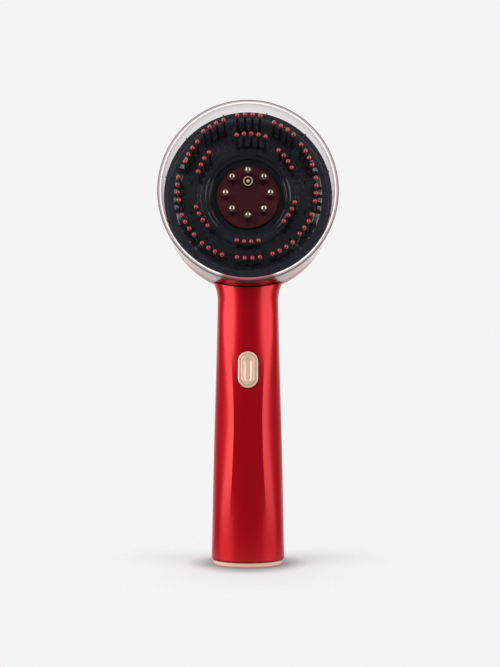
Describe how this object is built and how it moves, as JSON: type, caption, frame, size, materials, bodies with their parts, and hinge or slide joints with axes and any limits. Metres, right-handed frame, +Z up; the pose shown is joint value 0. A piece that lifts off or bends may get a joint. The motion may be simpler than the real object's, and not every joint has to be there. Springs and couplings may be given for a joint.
{
  "type": "scalp applicator comb",
  "caption": "Handheld scalp applicator comb: round bristle head in a clear ring with sprung metal beads round a tank window, on a tapered handle with a push button and a flat base.",
  "frame": {"origin": "middle of the foot's underside", "axes": "+Z up the handle to the head, -Y the way the bristles point, +X to the right seen from the front"},
  "size_m": [0.088, 0.0688, 0.2304],
  "materials": {
    "red_lacquer": "metallic red lacquer on moulded plastic",
    "rose_gold": "polished rose-gold anodised",
    "clear_plastic": "clear polished plastic",
    "black_gloss": "gloss black",
    "bristle_black": "satin black",
    "tip_red": "gloss red",
    "window_maroon": "dark tinted gloss",
    "guide_maroon": "dark tinted gloss",
    "bead_steel": "polished",
    "lens_dark": "smoked clear",
    "frame_grey": "moulded grey",
    "seal_rubber": "soft black",
    "plug_polished": "polished",
    "board_green": "lacquered board",
    "switch_black": "plain",
    "plain_steel": "plain",
    "weight_brass": "turned",
    "cell_can": "wrapped can, filled"
  },
  "bodies": {
    "applicator": {"rear_shell": "red_lacquer", "front_shell": "red_lacquer", "base_cap": "rose_gold", "button_bezel": "rose_gold", "filler_collar": "rose_gold", "clear_ring": "clear_plastic", "ring_tabs": "clear_plastic", "comb_plate": "black_gloss", "outer_bristle_row_01": "bristle_black", "outer_bristle_row_02": "bristle_black", "outer_bristle_row_03": "bristle_black", "outer_bristle_row_04": "bristle_black", "outer_bristle_row_05": "bristle_black", "outer_bristle_row_06": "bristle_black", "outer_bristle_row_07": "bristle_black", "outer_bristle_row_08": "bristle_black", "outer_bristle_row_09": "bristle_black", "outer_bristle_row_10": "bristle_black", "outer_bristle_row_11": "bristle_black", "outer_bristle_row_12": "bristle_black", "inner_bristle_row_1": "bristle_black", "inner_bristle_row_2": "bristle_black", "inner_bristle_row_3": "bristle_black", "inner_bristle_row_4": "bristle_black", "inner_bristle_row_5": "bristle_black", "inner_bristle_row_6": "bristle_black", "outer_bristle_tips": "tip_red", "inner_bristle_tips": "tip_red", "tank_window": "window_maroon", "bead_guides": "guide_maroon", "light_lenses": "lens_dark", "chassis": "frame_grey", "head_frame": "frame_grey", "tank_body": "frame_grey", "spring_plate": "frame_grey", "tank_seal": "seal_rubber", "valve_dome_sheet": "seal_rubber", "motor_sleeve": "seal_rubber", "main_board": "board_green", "light_board": "board_green", "switch_body": "switch_black", "chassis_screws": "plain_steel", "charge_socket": "plain_steel", "motor_can": "plain_steel", "battery_cell": "cell_can"},
    "button": {"button_cap": "rose_gold", "switch_plunger": "switch_black"},
    "motor_rotor": {"motor_shaft": "plain_steel", "eccentric_weight": "weight_brass"},
    "filler_stopper": {"filler_plug": "seal_rubber", "plug_stud": "plug_polished"},
    "bead_1": {"bead_valve_1": "bead_steel"},
    "bead_2": {"bead_valve_2": "bead_steel"},
    "bead_3": {"bead_valve_3": "bead_steel"},
    "bead_4": {"bead_valve_4": "bead_steel"},
    "bead_5": {"bead_valve_5": "bead_steel"},
    "bead_6": {"bead_valve_6": "bead_steel"},
    "bead_7": {"bead_valve_7": "bead_steel"},
    "bead_8": {"bead_valve_8": "bead_steel"}
  },
  "joints": [
    {"name": "button_press", "type": "slide", "parent": "applicator", "child": "button", "axis": [0, 1, 0], "range_m": [0, 0.0006], "stiffness_N_per_m": 800, "springref_m": -0.001},
    {"name": "motor_spin", "type": "hinge", "parent": "applicator", "child": "motor_rotor", "pos_m": [0, 0.0025, 0.1295], "axis": [0, 0, 1], "continuous": true},
    {"name": "stopper_pull", "type": "slide", "parent": "applicator", "child": "filler_stopper", "axis": [0, -1, 0], "range_m": [0, 0.009]},
    {"name": "bead_press_1", "type": "slide", "parent": "applicator", "child": "bead_1", "axis": [0, 1, 0], "range_m": [0, 0.0012], "stiffness_N_per_m": 200, "springref_m": -0.001, "deforming": ["valve_dome_sheet"]},
    {"name": "bead_press_2", "type": "slide", "parent": "applicator", "child": "bead_2", "axis": [0, 1, 0], "range_m": [0, 0.0012], "stiffness_N_per_m": 200, "springref_m": -0.001, "deforming": ["valve_dome_sheet"]},
    {"name": "bead_press_3", "type": "slide", "parent": "applicator", "child": "bead_3", "axis": [0, 1, 0], "range_m": [0, 0.0012], "stiffness_N_per_m": 200, "springref_m": -0.001, "deforming": ["valve_dome_sheet"]},
    {"name": "bead_press_4", "type": "slide", "parent": "applicator", "child": "bead_4", "axis": [0, 1, 0], "range_m": [0, 0.0012], "stiffness_N_per_m": 200, "springref_m": -0.001, "deforming": ["valve_dome_sheet"]},
    {"name": "bead_press_5", "type": "slide", "parent": "applicator", "child": "bead_5", "axis": [0, 1, 0], "range_m": [0, 0.0012], "stiffness_N_per_m": 200, "springref_m": -0.001, "deforming": ["valve_dome_sheet"]},
    {"name": "bead_press_6", "type": "slide", "parent": "applicator", "child": "bead_6", "axis": [0, 1, 0], "range_m": [0, 0.0012], "stiffness_N_per_m": 200, "springref_m": -0.001, "deforming": ["valve_dome_sheet"]},
    {"name": "bead_press_7", "type": "slide", "parent": "applicator", "child": "bead_7", "axis": [0, 1, 0], "range_m": [0, 0.0012], "stiffness_N_per_m": 200, "springref_m": -0.001, "deforming": ["valve_dome_sheet"]},
    {"name": "bead_press_8", "type": "slide", "parent": "applicator", "child": "bead_8", "axis": [0, 1, 0], "range_m": [0, 0.0012], "stiffness_N_per_m": 200, "springref_m": -0.001, "deforming": ["valve_dome_sheet"]}
  ]
}
